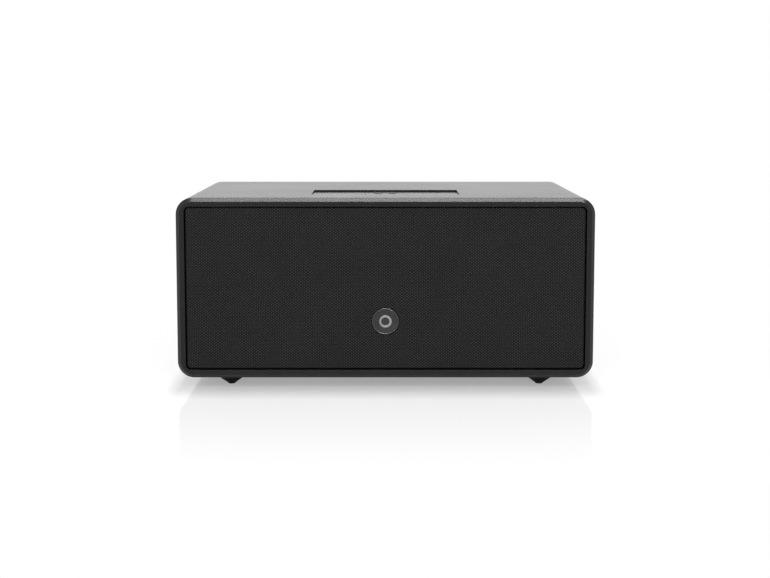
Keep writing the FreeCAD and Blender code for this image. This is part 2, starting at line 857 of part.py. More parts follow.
def woofer_pole_plates(side):
    top = basket_depth + glue_line
    washer = turned([(motor_gap_radius, top), (plate_radius, top), (plate_radius, top + plate_thickness),
                     (motor_gap_radius, top + plate_thickness)], woofer_axis(side), back)
    base = top + plate_thickness + magnet_thickness + 2 * glue_line
    end = base + yoke_thickness
    yoke = turned([(0, top), (pole_radius, top), (pole_radius, base), (plate_radius, base),
                   (plate_radius, end), (0, end)], woofer_axis(side), back)
    return [washer, yoke]


def woofer_magnet(side):
    start = basket_depth + plate_thickness + 2 * glue_line
    return turned([(magnet_bore, start), (magnet_radius, start), (magnet_radius, start + magnet_thickness),
                   (magnet_bore, start + magnet_thickness)], woofer_axis(side), back)


# Tweeter, every depth counted from the front of its plate


def tweeter_axis(side):
    return vec(side * tweeter_x, baffle_y, tweeter_z)


def tweeter_faceplate(side):
    steps = [(tweeter_horn_radius, 0), (tweeter_radius - tweeter_plate_edge, 0),
             (tweeter_radius, tweeter_plate_edge), (tweeter_radius, tweeter_plate),
             (tweeter_throat_radius, tweeter_plate), (tweeter_throat_radius, tweeter_horn_depth)]
    plate = turned(steps, tweeter_axis(side), back)
    holes = [screw_hole(driver_screw_radius, baffle_y - 1, baffle_y + tweeter_plate + 1, x, z)
             for x, z in tweeter_screw_places(side)]
    return plate.cut(holes)


def tweeter_dome(side):
    rim = tweeter_horn_depth + glue_gap
    apex = rim - dome_rise
    inner = dome_radius - dome_skin
    coil_end = rim + dome_coil_length
    steps = [(0, apex), (cap_arc(dome_radius, dome_rise, apex), (dome_radius, rim)),
             (dome_roll_radius, rim), (dome_roll_radius, rim + dome_skin),
             (dome_radius, rim + dome_skin), (dome_radius, coil_end), (inner, coil_end),
             (inner, rim + dome_skin),
             (cap_arc(inner, dome_rise, apex + dome_skin), (0, apex + dome_skin))]
    return turned(steps, tweeter_axis(side), back)


def tweeter_motor(side):
    start = tweeter_plate + glue_line
    gap_in = dome_radius - dome_skin - tweeter_motor_gap
    gap_out = dome_radius + tweeter_motor_gap
    gap_end = tweeter_horn_depth + dome_coil_length + tweeter_travel + 2 * tweeter_motor_gap
    face = start + tweeter_recess
    end = start + tweeter_motor_length
    steps = [(0, face), (gap_in, face), (gap_in, gap_end), (gap_out, gap_end), (gap_out, face),
             (tweeter_throat_radius, face), (tweeter_throat_radius, start), (tweeter_motor_radius, start),
             (tweeter_motor_radius, end - tweeter_motor_edge),
             (tweeter_motor_radius - tweeter_motor_edge, end), (0, end)]
    return turned(steps, tweeter_axis(side), back)


# Controls in the top


def key_places():
    places = []
    for row_y, names in ((recess_y - key_row_spacing / 2, front_key_names),
                         (recess_y + key_row_spacing / 2, rear_key_names)):
        first_x = -key_pitch * (len(names) - 1) / 2
        for n, name in enumerate(names):
            places.append((name, first_x + n * key_pitch, row_y))
    return places


def post_places():
    return [(x, recess_y + y) for x in (-post_spacing_x / 2, post_spacing_x / 2)
            for y in (-post_spacing_y / 2, post_spacing_y / 2)]


def control_plate():
    plate = flat_slab(recess_width - 2 * glue_gap, recess_length - 2 * glue_gap, recess_corner - glue_gap,
                      plate_under_z, plate_top_z, 0, recess_y)
    plate = plate.cut([rod_z(key_radius + key_gap, plate_under_z - 1, plate_top_z + 1, x, y)
                       for name, x, y in key_places()])
    posts = []
    for x, y in post_places():
        posts.append(rod_z(post_radius, board_top_z, plate_under_z, x, y))
        posts.append(rod_z(post_pin_radius, board_top_z - board_thickness, board_top_z, x, y))
    return plate.fuse(posts)


def control_key(x, y):
    top = plate_top_z + key_rise
    bottom = key_flange_z - key_flange
    rim = key_radius - key_edge
    dish_radius, dish_depth = cap_arc(rim, key_dish, 0.0)
    steps = [(0, key_stem_z), (key_stem_radius, key_stem_z), (key_stem_radius, bottom),
             (key_flange_radius, bottom), (key_flange_radius, key_flange_z), (key_radius, key_flange_z),
             (key_radius, top - key_edge), (rim, top),
             ((dish_radius, top - key_dish + dish_depth), (0, top - key_dish))]
    return turned(steps, vec(x, y, 0), up)


def control_board():
    under = board_top_z - board_thickness
    board = flat_slab(control_board_width, control_board_length, recess_corner, under, board_top_z,
                      0, recess_y)
    half = ribbon_width / 2 + ribbon_play
    header = block(ribbon_x - half, ribbon_x + half, recess_y - ribbon_header / 2,
                   recess_y + ribbon_header / 2, under - ribbon_header, under + 0.2)
    holes = [rod_z(post_pin_radius + screw_play, under - 1, board_top_z + 1, x, y)
             for x, y in post_places()]
    return board.fuse(header).cut(holes)


def key_switch(x, y):
    half = switch_size / 2
    body_top = board_top_z + switch_body
    body = block(x - half, x + half, y - half, y + half, board_top_z, body_top)
    return body.fuse(rod_z(switch_plunger_radius, body_top - 0.5, body_top + switch_plunger, x, y))


# Rear plate, port and sockets


def socket_cutouts():
    """Openings in the plate, each a little larger than the piece that passes through it."""
    y0 = plate_in_y - 1
    y1 = plate_out_y + 1
    gap = 2 * socket_gap
    return [
        upright_slab(mains_body_width + gap, mains_body_height + gap, mains_body_corner + socket_gap,
                     y0, y1, mains_x, plate_z),
        upright_slab(network_width + gap, network_height + gap, network_corner + socket_gap,
                     y0, y1, network_x, plate_z),
        rod_y(phono_collar_radius + socket_gap, y0, y1, phono_x, plate_z),
        rod_y(aux_nose_radius + socket_gap, y0, y1, aux_x, plate_z),
        rod_y(pairing_radius + travel_gap, y0, y1, pairing_x, plate_z),
    ]


def standoff_places():
    reach_x = amplifier_board_width / 2 - standoff_radius - standoff_edge
    reach_z = amplifier_board_height / 2 - standoff_radius - standoff_edge
    return [(x, plate_z + z) for x in (-reach_x, reach_x) for z in (-reach_z, reach_z)]


def amplifier_plate():
    plate = upright_slab(plate_width, plate_height, plate_corner, plate_in_y, plate_out_y, 0, plate_z)
    plate = plate.cut(socket_cutouts())
    plate = plate.cut([screw_hole(plate_screw_radius, plate_in_y - 1, plate_out_y + 1, x, z)
                       for x, z in plate_screw_places()])
    return plate.fuse([rod_y(standoff_radius, amplifier_board_y, plate_in_y, x, z)
                       for x, z in standoff_places()])


def plate_gasket():
    ring = upright_slab(plate_width, plate_height, plate_corner, rear_board_back_y, plate_in_y, 0, plate_z)
    inside = upright_slab(plate_width - 2 * gasket_width, plate_height - 2 * gasket_width, plate_corner,
                          rear_board_back_y - 1, plate_in_y + 1, 0, plate_z)
    holes = [screw_hole(plate_screw_radius, rear_board_back_y - 1, plate_in_y + 1, x, z)
             for x, z in plate_screw_places()]
    return ring.cut([inside] + holes)


def reflex_port():
    mouth = port_mouth_radius
    wall_flare = port_flare - port_wall
    half = 1 - math.sqrt(0.5)
    inner_middle = (port_bore_radius + port_flare * half, port_flare * half)
    outer_middle = (port_bore_radius + port_wall + wall_flare * half, port_flare - wall_flare * (1 - half))
    steps = [(port_flange_radius, 0), (mouth, 0), (inner_middle, (port_bore_radius, port_flare)),
             (port_bore_radius, port_length), (port_bore_radius + port_wall, port_length),
             (port_bore_radius + port_wall, port_flare), (outer_middle, (mouth, port_flange_thickness)),
             (port_flange_radius, port_flange_thickness)]
    port = turned(steps, vec(0, 0, port_z), back)
    port.rotate(vec(0, 0, port_z), up, 180)
    port.translate(back * (rear_board_back_y + port_flange_thickness))
    return port


def mains_inlet():
    out = plate_out_y
    body_in = amplifier_board_y + socket_gap
    mouth = out + mains_flange
    flange = upright_slab(mains_flange_width, mains_flange_height, mains_flange_corner, out, mouth,
                          mains_x, plate_z)
    body = upright_slab(mains_body_width, mains_body_height, mains_body_corner, body_in, out,
                        mains_x, plate_z)
    cavity = upright_slab(mains_cavity_width, mains_cavity_height, mains_cavity_height / 2 - 0.01,
                          mouth - mains_cavity_depth, mouth + 1, mains_x, plate_z)
    shell = body.fuse(flange).cut(cavity)
    root = mouth - mains_cavity_depth
    pins = [rod_y(mains_pin_radius, root - 1, root + mains_pin_length,
                  mains_x + side * mains_pin_spacing / 2, plate_z) for side in (-1, 1)]
    return shell.fuse(pins)


def network_socket():
    mouth = plate_out_y + network_proud
    shell = upright_slab(network_width, network_height, network_corner, amplifier_board_y + socket_gap,
                         mouth, network_x, plate_z)
    cavity = block(network_x - network_cavity_width / 2, network_x + network_cavity_width / 2,
                   mouth - network_cavity_depth, mouth + 1,
                   plate_z - network_cavity_height / 2, plate_z + network_cavity_height / 2)
    latch = block(network_x - network_latch_width / 2, network_x + network_latch_width / 2,
                  mouth - network_cavity_depth, mouth + 1,
                  plate_z - network_cavity_height / 2 - network_latch_height, plate_z)
    return shell.cut([cavity, latch])


def sub_output_socket():
    collar = plate_out_y + phono_collar_proud
    mouth = collar + phono_shell_length
    body = rod_y(phono_collar_radius, amplifier_board_y + socket_gap, collar, phono_x, plate_z)
    shell = rod_y(phono_radius, collar - 1, mouth, phono_x, plate_z)
    seat_y = plate_in_y - socket_gap
    seat = rod_y(phono_seat_radius, seat_y - phono_seat, seat_y, phono_x, plate_z)
    bore = rod_y(phono_bore, mouth - phono_bore_length, mouth + 1, phono_x, plate_z)
    return body.fuse([seat, shell]).cut(bore)


def aux_socket():
    mouth = plate_out_y + aux_nose_proud
    nose = rod_y(aux_nose_radius, plate_in_y - aux_nose_root, mouth, aux_x, plate_z)
    half = aux_body / 2
    body = block(aux_x - half, aux_x + half, amplifier_board_y + socket_gap, plate_in_y - socket_gap,
                 plate_z - half, plate_z + half)
    bore = rod_y(aux_bore, mouth - aux_bore_length, mouth + 1, aux_x, plate_z)
    return body.fuse(nose).cut(bore)


def pairing_button():
    top = plate_out_y + pairing_proud
    flange = plate_in_y - travel_gap
    root = flange - pairing_flange
    end = flange - pairing_stem
    steps = [(0, end), (pairing_stem_radius, end), (pairing_stem_radius, root),
             (pairing_flange_radius, root), (pairing_flange_radius, flange), (pairing_radius, flange),
             (pairing_radius, top - pairing_edge), (pairing_radius - pairing_edge, top), (0, top)]
    return turned(steps, vec(pairing_x, 0, plate_z), back)


# Boards inside


def header_z():
    return plate_z + amplifier_board_height / 2 - lead_header_depth


def lead_header(x, wide, y0):
    half = lead_header_depth / 2
    return block(x - wide / 2, x + wide / 2, y0 - lead_header_depth, y0 + 0.2,
                 header_z() - half, header_z() + half)


def amplifier_board():
    """Board behind the plate with its parts soldered on the side that looks forwards."""
    y1 = amplifier_board_y - glue_line
    y0 = y1 - board_thickness
    solid = upright_slab(amplifier_board_width, amplifier_board_height, board_corner, y0, y1, 0, plate_z)
    parts = []
    for x, z, radius, tall in amplifier_cans:
        parts.append(rod_y(radius, y0 - tall, y0 + 0.2, x, plate_z + z))
    for x, z, size, tall in amplifier_chips:
        parts.append(block(x - size / 2, x + size / 2, y0 - tall, y0 + 0.2,
                           plate_z + z - size / 2, plate_z + z + size / 2))
    for side in (-1, 1):
        parts.append(lead_header(side * lead_header_x, lead_header_size, y0))
    parts.append(lead_header(ribbon_x, ribbon_width + 2 * ribbon_play, y0))
    switch_y = plate_in_y - travel_gap - pairing_stem - pairing_travel - travel_gap
    switch = rod_y(switch_plunger_radius, y1 - 0.2, switch_y, pairing_x, plate_z)
    return solid.fuse(parts + [switch])


def heat_sink():
    y1 = amplifier_board_y - glue_line - board_thickness - glue_line
    half_x = heat_sink_width / 2
    half_z = heat_sink_height / 2
    base = block(-half_x, half_x, y1 - heat_sink_base, y1, plate_z - half_z, plate_z + half_z)
    pitch = (heat_sink_width - heat_sink_fin) / (heat_sink_fins - 1)
    fins = [block(-half_x + n * pitch, -half_x + n * pitch + heat_sink_fin, y1 - heat_sink_depth,
                  y1 - heat_sink_base, plate_z - half_z, plate_z + half_z) for n in range(heat_sink_fins)]
    return base.fuse(fins)


def power_supply_board():
    """Mains board on four short feet on the cabinet floor."""
    z0 = floor_z + power_board_lift
    board = flat_slab(power_board_width, power_board_length, board_corner, z0, z0 + board_thickness,
                      0, power_board_y)
    top = z0 + board_thickness - 0.2
    parts = []
    for x, y, radius, tall in power_cans:
        parts.append(rod_z(radius, top, top + tall, x, power_board_y + y))
    for x, y, wide, long, tall in power_blocks:
        parts.append(block(x - wide / 2, x + wide / 2, power_board_y + y - long / 2,
                           power_board_y + y + long / 2, top, top + tall))
    reach_x = power_board_width / 2 - power_post_inset
    reach_y = power_board_length / 2 - power_post_inset
    for x in (-reach_x, reach_x):
        for y in (-reach_y, reach_y):
            parts.append(rod_z(power_post_radius, floor_z + glue_line, z0 + 0.2, x, power_board_y + y))
    return board.fuse(parts)


def wireless_module():
    y1 = rear_board_y - wireless_stand
    z = roof_z - wireless_drop
    board = upright_slab(wireless_width, wireless_height, board_corner, y1 - board_thickness, y1,
                         wireless_x, z)
    shield = block(wireless_x - shield_size / 2, wireless_x + shield_size / 2,
                   y1 - board_thickness - shield_height, y1 - board_thickness + 0.2,
                   z - shield_size / 2, z + shield_size / 2)
    reach_x = wireless_width / 2 - wireless_post_inset
    reach_z = wireless_height / 2 - wireless_post_inset
    stands = [rod_y(wireless_post_radius, y1 - 0.2, rear_board_y - glue_line, wireless_x + dx, z + dz)
              for dx in (-reach_x, reach_x) for dz in (-reach_z, reach_z)]
    return board.fuse([shield] + stands)


def header_front_y():
    return amplifier_board_y - glue_line - board_thickness - lead_header_depth - glue_line


def round_profile(at):
    return Part.Wire(Part.Circle(at, back, lead_radius).toShape())


def ribbon_profile(at):
    corners = [at + right * (a * ribbon_width / 2) + back * (b * ribbon_thickness / 2)
               for a, b in ((-1, -1), (1, -1), (1, 1), (-1, 1), (-1, -1))]
    return Part.makePolygon(corners)


def woofer_lead(side):
    start = vec(side * (lead_header_x + lead_pair_spacing / 2), header_front_y(), header_z())
    end = woofer_terminal(side)
    first, last = woofer_lead_runs
    return swept([start, start - back * first, end + back * last, end], round_profile)


def tweeter_lead(side):
    start = vec(side * (lead_header_x - lead_pair_spacing / 2), header_front_y(), header_z())
    end = vec(side * tweeter_x, baffle_y + tweeter_plate + tweeter_motor_length + 2 * glue_line, tweeter_z)
    first, last = tweeter_lead_runs
    bends = [vec(side * x, y, z) for x, y, z in tweeter_lead_bends]
    return swept([start, start - back * first] + bends + [end + back * last, end], round_profile)


def control_ribbon():
    start = vec(ribbon_x, recess_y, board_top_z - board_thickness - ribbon_header - glue_line)
    end = vec(ribbon_x, header_front_y() + glue_line + lead_header_depth / 2,
              header_z() + lead_header_depth / 2 + glue_line)
    first, last = ribbon_runs
    return swept([start, start - up * first, vec(ribbon_x, *ribbon_bend), end + up * last, end],
                 ribbon_profile)


def damping_pad(side):
    outer = side * (inner_width / 2 - glue_gap)
    inner = outer - side * pad_thickness
    pad = block(min(outer, inner), max(outer, inner), -pad_length / 2, pad_length / 2,
                middle_z - pad_height / 2, middle_z + pad_height / 2)
    return pad.makeFillet(pad_round, edges_on(pad, "X", inner))


# Feet


def foot_places():
    return [(x, y) for y in (-foot_y, foot_y) for x in (-foot_x, foot_x)]


def cone_foot(x, y):
    steps = [(0, 0), (foot_tip_radius - foot_tip_round, 0), (foot_tip_radius, foot_tip_round),
             (foot_radius, foot_height - foot_collar), (foot_radius, foot_height - foot_edge),
             (foot_radius - foot_edge, foot_height), (stud_radius, foot_height),
             (stud_radius, foot_height + stud_length), (0, foot_height + stud_length)]
    return turned(steps, vec(x, y, 0), up)


def foot_insert(x, y):
    bore = stud_radius + insert_play
    return turned([(bore, bottom_z + insert_play), (bore + insert_wall, bottom_z + insert_play),
                   (bore + insert_wall, floor_z), (bore, floor_z)], vec(x, y, 0), up)


# Write every piece


def main():
    os.makedirs("parts", exist_ok=True)
    pieces = {
        "cabinet_shell": [cabinet_shell()],
        "front_baffle": [front_baffle()],
        "rear_board": [rear_board()],
        "grille_frame": [grille_frame()],
        "grille_cloth": [grille_cloth()],
        "grille_cups": [grille_cup(x, z) for x, z in peg_places],
        "badge_plate": [badge_plate()],
        "badge_inlay": [badge_inlay()],
        "damping_pads": [damping_pad(side) for side in (-1, 1)],
    }
    for side, word in ((-1, "left"), (1, "right")):
        pieces["woofer_basket_" + word] = [woofer_basket(side)]
        pieces["woofer_surround_" + word] = [woofer_surround(side)]
        pieces["woofer_cone_" + word] = [woofer_cone(side)]
        pieces["woofer_dust_cap_" + word] = [woofer_cap(side)]
        pieces["woofer_voice_coil_" + word] = [woofer_coil(side)]
        pieces["woofer_spider_" + word] = [woofer_spider(side)]
        pieces["woofer_pole_plates_" + word] = woofer_pole_plates(side)
        pieces["woofer_magnet_" + word] = [woofer_magnet(side)]
        pieces["tweeter_faceplate_" + word] = [tweeter_faceplate(side)]
        pieces["tweeter_dome_" + word] = [tweeter_dome(side)]
        pieces["tweeter_motor_" + word] = [tweeter_motor(side)]
    pieces["driver_screws"] = [pan_screw(driver_screw_radius, driver_screw_length, baffle_y, x, z, -1)
                               for x, z in driver_screw_places()]
    pieces["control_plate"] = [control_plate()]
    pieces["control_board"] = [control_board()]
    pieces["key_switches"] = [key_switch(x, y) for name, x, y in key_places()]
    for name, x, y in key_places():
        pieces[name] = [control_key(x, y)]
    pieces["amplifier_plate"] = [amplifier_plate()]
    pieces["plate_gasket"] = [plate_gasket()]
    pieces["plate_screws"] = [pan_screw(plate_screw_radius, plate_screw_length, plate_out_y, x, z, 1)
                              for x, z in plate_screw_places()]
    pieces["reflex_port"] = [reflex_port()]
    pieces["mains_inlet"] = [mains_inlet()]
    pieces["network_socket"] = [network_socket()]
    pieces["sub_output_socket"] = [sub_output_socket()]
    pieces["aux_socket"] = [aux_socket()]
    pieces["pairing_button"] = [pairing_button()]
    pieces["amplifier_board"] = [amplifier_board()]
    pieces["heat_sink"] = [heat_sink()]
    pieces["power_supply_board"] = [power_supply_board()]
    pieces["wireless_module"] = [wireless_module()]
    pieces["wiring_loom"] = [lead(side) for side in (-1, 1) for lead in (woofer_lead, tweeter_lead)]
    pieces["wiring_loom"].append(control_ribbon())
    for (x, y), word in zip(foot_places(), ("front_left", "front_right", "rear_left", "rear_right")):
        pieces["foot_" + word] = [cone_foot(x, y)]
    pieces["foot_inserts"] = [foot_insert(x, y) for x, y in foot_places()]
    for name, solids in pieces.items():
        save(name, solids)


main()
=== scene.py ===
import math
import bmesh
import bpy
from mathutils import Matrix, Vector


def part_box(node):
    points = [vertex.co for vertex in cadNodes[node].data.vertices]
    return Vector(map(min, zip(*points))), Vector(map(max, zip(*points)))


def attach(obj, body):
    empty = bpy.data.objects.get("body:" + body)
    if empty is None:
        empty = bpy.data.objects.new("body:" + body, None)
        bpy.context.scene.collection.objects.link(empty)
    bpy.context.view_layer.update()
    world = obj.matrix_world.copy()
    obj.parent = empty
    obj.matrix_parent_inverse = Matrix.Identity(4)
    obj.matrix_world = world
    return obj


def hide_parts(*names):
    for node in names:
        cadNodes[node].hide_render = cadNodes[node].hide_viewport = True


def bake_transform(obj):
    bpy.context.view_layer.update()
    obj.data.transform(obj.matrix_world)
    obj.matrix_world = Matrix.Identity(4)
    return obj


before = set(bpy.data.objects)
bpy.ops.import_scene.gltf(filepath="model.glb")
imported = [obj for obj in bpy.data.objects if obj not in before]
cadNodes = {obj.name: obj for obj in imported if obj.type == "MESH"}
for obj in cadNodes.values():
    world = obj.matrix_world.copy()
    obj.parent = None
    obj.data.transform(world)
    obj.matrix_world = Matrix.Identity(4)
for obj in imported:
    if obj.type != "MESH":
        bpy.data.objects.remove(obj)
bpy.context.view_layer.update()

scene = bpy.context.scene
print("stage: frame loaded,", len(cadNodes), "nodes")


# Small tools for node trees
noise = {"detail": 3.0, "broadDetail": 2.0, "roughness": .55, "low": .35, "high": .65}
softEdge = {"radius": .0002, "samples": 4}


def addNode(tree, kind, inputs=None, **settings):
    made = tree.nodes.new(kind)
    for key, value in settings.items():
        setattr(made, key, value)
    for key, value in (inputs or {}).items():
        if isinstance(value, bpy.types.NodeSocket):
            tree.links.new(value, made.inputs[key])
        else:
            made.inputs[key].default_value = value
    return made


def startFinish(name):
    finish = bpy.data.materials.new(name)
    finish.use_nodes = True
    tree = finish.node_tree
    place = addNode(tree, "ShaderNodeTexCoord").outputs["Object"]
    return finish, tree, tree.nodes["Principled BSDF"], place


def doMath(tree, operation, first, second=0.0):
    return addNode(tree, "ShaderNodeMath", {0: first, 1: second}, operation=operation).outputs[0]


def doVector(tree, operation, first, second, result="Vector"):
    made = addNode(tree, "ShaderNodeVectorMath", {0: first, 1: second}, operation=operation)
    return made.outputs[result]


def spread(tree, value, low, high, fromLow=noise["low"], fromHigh=noise["high"]):
    return addNode(tree, "ShaderNodeMapRange", {"Value": value, "From Min": fromLow, "From Max": fromHigh,
                                                "To Min": low, "To Max": high}).outputs["Result"]


def speckle(tree, place, size, detail=noise["detail"], stretch=(1, 1, 1)):
    moved = addNode(tree, "ShaderNodeMapping", {"Vector": place, "Scale": stretch}).outputs["Vector"]
    return addNode(tree, "ShaderNodeTexNoise", {"Vector": moved, "Scale": 1 / size, "Detail": detail,
                                                "Roughness": noise["roughness"]}).outputs["Fac"]


def tint(tree, factor, dark, light):  # either colour may also come from another node
    ends = {socket: end if isinstance(end, bpy.types.NodeSocket) else (*end, 1)
            for socket, end in ((6, dark), (7, light))}  # the sockets of the mix's two colours
    return addNode(tree, "ShaderNodeMix", {0: factor, **ends}, data_type="RGBA").outputs[2]


def wire(tree, shader, colour, rough, height, strength, depth, edge=softEdge["radius"]):  # joins them up
    edges = addNode(tree, "ShaderNodeBevel", {"Radius": edge},
                    samples=softEdge["samples"]).outputs["Normal"]
    bump = addNode(tree, "ShaderNodeBump", {"Height": height, "Strength": strength, "Distance": depth,
                                            "Normal": edges}).outputs["Normal"]
    tree.links.new(colour, shader.inputs["Base Color"])
    tree.links.new(rough, shader.inputs["Roughness"])
    tree.links.new(bump, shader.inputs["Normal"])


# Finishes for the record's slots, and for the key marks and contacts: sizes in metres, colours linear
mottle = {"patch": .45, "grain": .55}  # how much of a finish's shade comes from its patches and its grain
finishLooks = {
    "cabinet_black": {"dark": (.0055, .0055, .0059), "light": (.009, .009, .0096), "patch": .06,
                      "grain": .0011, "rough": (.29, .33), "bump": .25, "depth": .000006, "edge": .0003,
                      "shader": {"Specular IOR Level": .27}},
    "board_black": {"dark": (.010, .010, .010), "light": (.021, .020, .019), "patch": .02, "grain": .0006,
                    "rough": (.62, .78), "bump": .5, "depth": .00005, "stretch": (1, 1, .4),
                    "shader": {"Specular IOR Level": .3}},
    "moulded_black": {"dark": (.011, .011, .012), "light": (.018, .018, .019), "patch": .03, "grain": .0004,
                      "rough": (.44, .56), "bump": .35, "depth": .00003,
                      "shader": {"Specular IOR Level": .4}},
    "rubber_black": {"dark": (.009, .009, .009), "light": (.016, .016, .016), "patch": .012, "grain": .0003,
                     "rough": (.5, .66), "bump": .3, "depth": .00002, "shader": {"Specular IOR Level": .4}},
    "control_satin": {"dark": (.005, .005, .0053), "light": (.009, .009, .0093), "patch": .02,
                      "grain": .0005, "rough": (.24, .3), "bump": .3, "depth": .00001,
                      "shader": {"Specular IOR Level": .4}},
    "key_black": {"dark": (.007, .007, .0075), "light": (.012, .012, .0125), "patch": .004, "grain": .0003,
                  "rough": (.38, .48), "bump": .3, "depth": .00001, "shader": {"Specular IOR Level": .4}},
    "board_green": {"dark": (.006, .05, .02), "light": (.012, .085, .035), "patch": .006, "grain": .001,
                    "rough": (.3, .42), "bump": .4, "depth": .00004, "shader": {"Coat Weight": .3}},
    "switch_body": {"dark": (.03, .03, .03), "light": (.05, .05, .05), "patch": .003, "grain": .0003,
                    "rough": (.42, .52), "bump": .3, "depth": .00002},
    "plate_black": {"dark": (.011, .011, .0115), "light": (.020, .020, .021), "patch": .03, "grain": .0005,
                    "rough": (.46, .6), "bump": .7, "depth": .00006, "shader": {"Specular IOR Level": .45}},
    "foam_grey": {"dark": (.03, .03, .032), "light": (.08, .08, .083), "patch": .002, "grain": .0006,
                  "rough": (.85, .97), "bump": .9, "depth": .0002, "shader": {"Specular IOR Level": .1}},
    "port_black": {"dark": (.009, .009, .0095), "light": (.015, .015, .016), "patch": .03, "grain": .0004,
                   "rough": (.36, .48), "bump": .35, "depth": .00003, "shader": {"Specular IOR Level": .4}},
    "socket_black": {"dark": (.010, .010, .010), "light": (.017, .017, .017), "patch": .006, "grain": .0003,
                     "rough": (.34, .46), "bump": .3, "depth": .00002},
    "socket_metal": {"dark": (.44, .44, .43), "light": (.62, .61, .59), "patch": .004, "grain": .0002,
                     "rough": (.24, .36), "bump": .25, "depth": .00001, "shader": {"Metallic": 1.0}},
    "screw_black": {"dark": (.022, .022, .023), "light": (.045, .045, .047), "patch": .0016, "grain": .0002,
                    "rough": (.34, .48), "bump": .3, "depth": .00001, "shader": {"Metallic": .85}},
    "sink_metal": {"dark": (.02, .02, .021), "light": (.04, .04, .042), "patch": .01, "grain": .0004,
                   "rough": (.38, .5), "bump": .3, "depth": .00002, "stretch": (.1, 1, 1),
                   "shader": {"Metallic": .9}},
    "lead_black": {"dark": (.012, .012, .012), "light": (.022, .022, .022), "patch": .004, "grain": .0004,
                   "rough": (.4, .52), "bump": .4, "depth": .00003},
    "insert_brass": {"dark": (.42, .27, .09), "light": (.62, .42, .16), "patch": .002, "grain": .0002,
                     "rough": (.25, .38), "bump": .3, "depth": .00001, "shader": {"Metallic": 1.0}},
    "foot_black": {"dark": (.003, .003, .003), "light": (.006, .006, .006), "patch": .006, "grain": .0003,
                   "rough": (.6, .75), "bump": .3, "depth": .00002, "shader": {"Specular IOR Level": .06}},
    "basket_steel": {"dark": (.010, .010, .011), "light": (.018, .018, .019), "patch": .015, "grain": .0005,
                     "rough": (.36, .48), "bump": .5, "depth": .00004,
                     "shader": {"Specular IOR Level": .5}},
    "cone_paper": {"dark": (.010, .010, .0095), "light": (.026, .025, .023), "patch": .004, "grain": .0005,
                   "rough": (.7, .85), "bump": .8, "depth": .00008, "shader": {"Specular IOR Level": .25}},
    "coil_copper": {"dark": (.45, .16, .07), "light": (.7, .3, .14), "patch": .002, "grain": .0002,
                    "rough": (.25, .4), "bump": .6, "depth": .00004, "stretch": (.1, 4, .1),
                    "shader": {"Metallic": 1.0}},
    "spider_cloth": {"dark": (.18, .08, .02), "light": (.32, .17, .06), "patch": .003, "grain": .0005,
                     "rough": (.75, .9), "bump": .8, "depth": .0001, "shader": {"Sheen Weight": .3}},
    "plated_steel": {"dark": (.4, .4, .39), "light": (.58, .57, .55), "patch": .006, "grain": .0003,
                     "rough": (.3, .42), "bump": .3, "depth": .00002, "shader": {"Metallic": 1.0}},
    "ferrite": {"dark": (.018, .018, .019), "light": (.035, .035, .037), "patch": .006, "grain": .0004,
                "rough": (.6, .75), "bump": .6, "depth": .00006},
    "dome_silk": {"dark": (.008, .008, .008), "light": (.016, .016, .016), "patch": .0012, "grain": .0003,
                  "rough": (.5, .66), "bump": .7, "depth": .00003, "shader": {"Sheen Weight": .25}},
    "wadding": {"dark": (.35, .35, .34), "light": (.6, .6, .58), "patch": .008, "grain": .0012,
                "rough": (.9, 1.0), "bump": 1.0, "depth": .0006, "shader": {"Sheen Weight": .5}},
    "badge_metal": {"dark": (.031, .032, .033), "light": (.057, .058, .059), "patch": .02, "grain": .00025,
                    "rough": (.3, .44), "bump": .35, "depth": .000012, "stretch": (1, 1, .03),
                    # painted highlight: a lighter ring painted along the badge's edge
                    "rim": {"middle": (0, 0, .0695), "from": .0121, "to": .0126,
                            "colour": (.086, .087, .089)},
                    "shader": {"Metallic": .9}},
    "inlay_metal": {"dark": (.25, .25, .245), "light": (.38, .38, .37), "patch": .01, "grain": .00022,
                    "rough": (.26, .4), "bump": .35, "depth": .000012, "stretch": (1, 1, .03),
                    "shader": {"Metallic": 1.0}},
    "mark_white": {"dark": (.42, .42, .42), "light": (.56, .56, .56), "patch": .001, "grain": .0002,
                   "rough": (.5, .62), "bump": .2, "depth": .000008},
    "contact_gold": {"dark": (.7, .45, .14), "light": (.9, .62, .24), "patch": .001, "grain": .0002,
                     "rough": (.2, .32), "bump": .2, "depth": .000008, "shader": {"Metallic": 1.0}},
}


def coatedFinish(name, look):  # paint, plastic, rubber, paper or metal with its own patches, grain and bump
    finish, tree, shader, place = startFinish(name)
    patch = speckle(tree, place, look["patch"], noise["broadDetail"])
    grain = speckle(tree, place, look["grain"], stretch=look.get("stretch", (1, 1, 1)))
    shade = doMath(tree, "ADD", doMath(tree, "MULTIPLY", patch, mottle["patch"]),
                   doMath(tree, "MULTIPLY", grain, mottle["grain"]))
    colour = tint(tree, spread(tree, shade, 0, 1), look["dark"], look["light"])
    if "rim" in look:  # painted highlight: a round piece is painted brighter in a ring along its edge, seen from the front, where the edge would catch the light
        rim = look["rim"]
        flatPlace = doVector(tree, "MULTIPLY", place, (1, 0, 1))
        reach = doVector(tree, "DISTANCE", flatPlace, rim["middle"], "Value")
        colour = tint(tree, spread(tree, reach, 0, 1, rim["from"], rim["to"]), colour, rim["colour"])
    wire(tree, shader, colour, spread(tree, shade, *look["rough"]), grain, look["bump"], look["depth"],
         look.get("edge", softEdge["radius"]))
    for key, value in look.get("shader", {}).items():
        shader.inputs[key].default_value = value
    return finish


weave = {"warpPitch": .00173, "weftPitch": .00136, "dark": (.005, .005, .0052), "light": (.081, .081, .083),
         # the weft level both lowers the weft-topped cells and darkens them as painted shade; dark is the
         # painted shade colour between the threads
         "under": .3, "humpPower": .6, "wanderSize": .006, "wander": .12, "patch": .03, "patchShade": .9,
         "fibre": .0004, "fibreShade": (.8, 1.15), "rough": (.79, .93), "bump": .8, "depth": .00018,
         "shine": .08}


